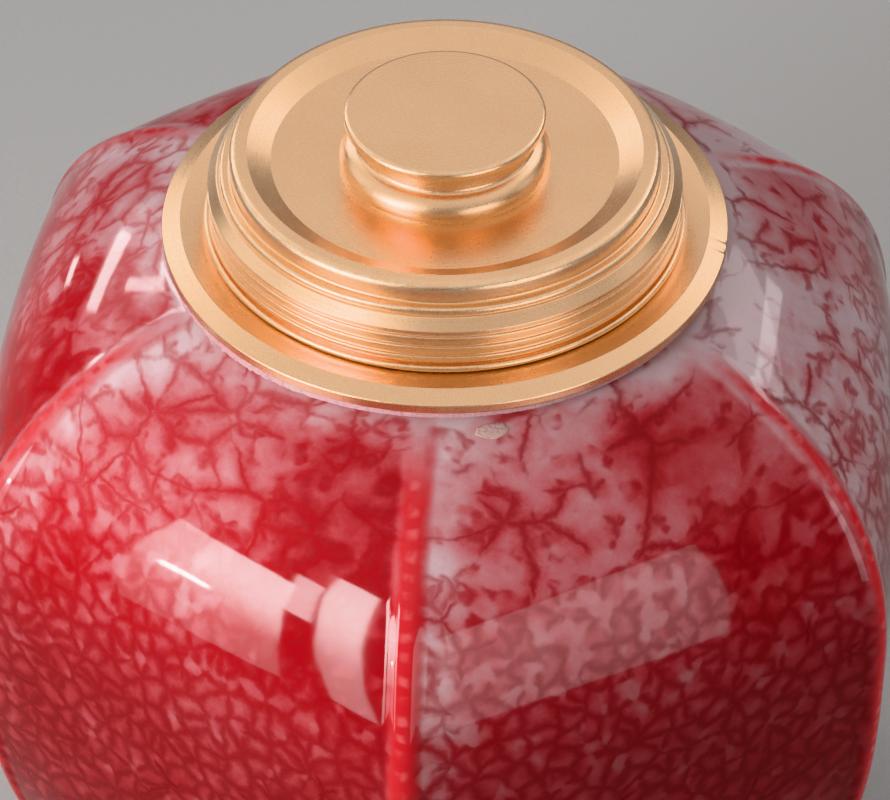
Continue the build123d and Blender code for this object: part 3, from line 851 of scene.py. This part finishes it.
def light_the_room():
    """Window panes front left, a dim one front right, skylights and walls behind, and a soft pale room."""
    add_panel("window_left_far", -55.8, 9.0, 0.31, (0.033, 0.200), 21.0, 0.2, spread=PANE_BEAM)
    add_panel("window_left_mid", -47.5, 9.0, 0.31, (0.053, 0.200), 38.0, 0.15, spread=PANE_BEAM)
    add_panel("window_left_near", -36.0, 15.0, 0.32, (0.028, 0.270), 38.0, 0.30, spread=PANE_BEAM)
    add_panel("window_left_join", -41.3, 24.0, 0.34, (0.018, 0.090), 22.0, spread=PANE_BEAM)
    add_panel("window_left_strip", -52.5, 9.4, 0.29, (0.030, 0.006), 260.0, spread=PANE_BEAM)
    add_panel("window_right", 39.7, 8.5, 0.245, (0.126, 0.160), 4.4, 0.8, spread=PANE_BEAM)
    add_panel("wall_far_left", -98, 18, 1.40, (0.80, 0.70), 0.9)
    add_panel("wall_far_right", 98, 16, 1.40, (0.60, 0.50), 0.6)
    add_panel("skylight_left", -135.5, 18.5, 1.20, (0.20, 0.09), 15.0)
    add_panel("skylight_left_top", -138.5, 37.5, 1.20, (0.028, 0.46), 16.0, 1.0, 15)
    add_panel("skylight_left_low", -135.5, 3.0, 1.20, (0.06, 0.05), 12.0)
    add_panel("wall_left", -137, 25, 1.40, (0.40, 0.50), 1.5)
    add_panel("skylight_right", 134, 31, 1.20, (0.09, 0.42), 4.0, 1.0, 42)
    add_panel("wall_right", 138, 34, 1.40, (0.60, 0.30), 2.6)
    world = bpy.data.worlds.new("room")
    bpy.context.scene.world = world
    world.use_nodes = True
    n = Nodes(world.node_tree)
    toward = n.parts(n.new("ShaderNodeTexCoord", {}).outputs["Generated"])
    tone = n.colours(n.math("MULTIPLY_ADD", toward[2], 0.5, 0.5), [
        (0.50, (0.18, 0.18, 0.18, 1)), (0.62, (0.26, 0.26, 0.26, 1)), (0.72, (0.50, 0.49, 0.49, 1)),
        (0.83, (0.99, 0.97, 0.95, 1)), (1.00, (0.84, 0.84, 0.84, 1)),
    ])
    background = world.node_tree.nodes["Background"]
    dimmed_front = n.ramp(toward[1], -0.75, -0.25, 0.72, 1.0)
    world.node_tree.links.new(tone, background.inputs["Color"])
    world.node_tree.links.new(dimmed_front, background.inputs["Strength"])


def place_camera():
    """A long lens above the front, a little to the right, aimed at the jar's axis."""
    camera = bpy.data.objects.new("camera", bpy.data.cameras.new("camera"))
    bpy.context.scene.collection.objects.link(camera)
    bpy.context.scene.camera = camera
    camera.data.sensor_fit = "HORIZONTAL"
    camera.data.angle = CAMERA_FIELD
    camera.data.clip_start = 0.01
    aim = Vector((0, 0, SEAT - CAMERA_DROP))
    away = direction(CAMERA_AZIMUTH, CAMERA_ELEVATION)
    camera.location = aim + away * CAMERA_DISTANCE
    camera.rotation_euler = (-away).to_track_quat("-Z", "Y").to_euler()


# -------------------------------------------------------------------------------------- assembly --
def dress(node, material):
    """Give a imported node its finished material."""
    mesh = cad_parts[node].data
    mesh.materials.clear()
    mesh.materials.append(material)
    mesh.polygons.foreach_set("use_smooth", [True] * len(mesh.polygons))


def stand_for(piece, node, body):
    """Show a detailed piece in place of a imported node."""
    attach(piece, body)
    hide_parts(node)


gold = gold_material()
adhesive = adhesive_material("adhesive", (176, 132, 137), (178, 146, 138))
thin_adhesive = adhesive_material("adhesive_thin", (176, 142, 140), (172, 148, 130))
white = porcelain_material("white_glaze", (226, 222, 220), 0.12, 0.01 * MM)
biscuit = porcelain_material("bare_biscuit", (214, 204, 190), 0.75, 0.06 * MM)
steel = steel_material()

stand_for(build_body([glaze_material(), white, biscuit]), "jar_body", "jar")
stand_for(build_collar(gold), "neck_collar", "jar")
stand_for(build_adhesive(adhesive), "collar_adhesive", "jar")
stand_for(build_cap(gold), "lid_cap", "lid")
stand_for(build_knob(gold), "lid_knob", "lid")
smear = build_smear(thin_adhesive)
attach(smear, "jar")
dress("lid_plug", moulded_material("plug_plastic", (232, 228, 220), 0.45, 3.0))
dress("lid_seal", moulded_material("silicone", (226, 226, 226), 0.35, 2.0))
dress("knob_screw", steel)
dress("knob_washer", steel)

build_floor(floor_material())
light_the_room()
place_camera()
bpy.context.scene.view_settings.view_transform = "Khronos PBR Neutral"
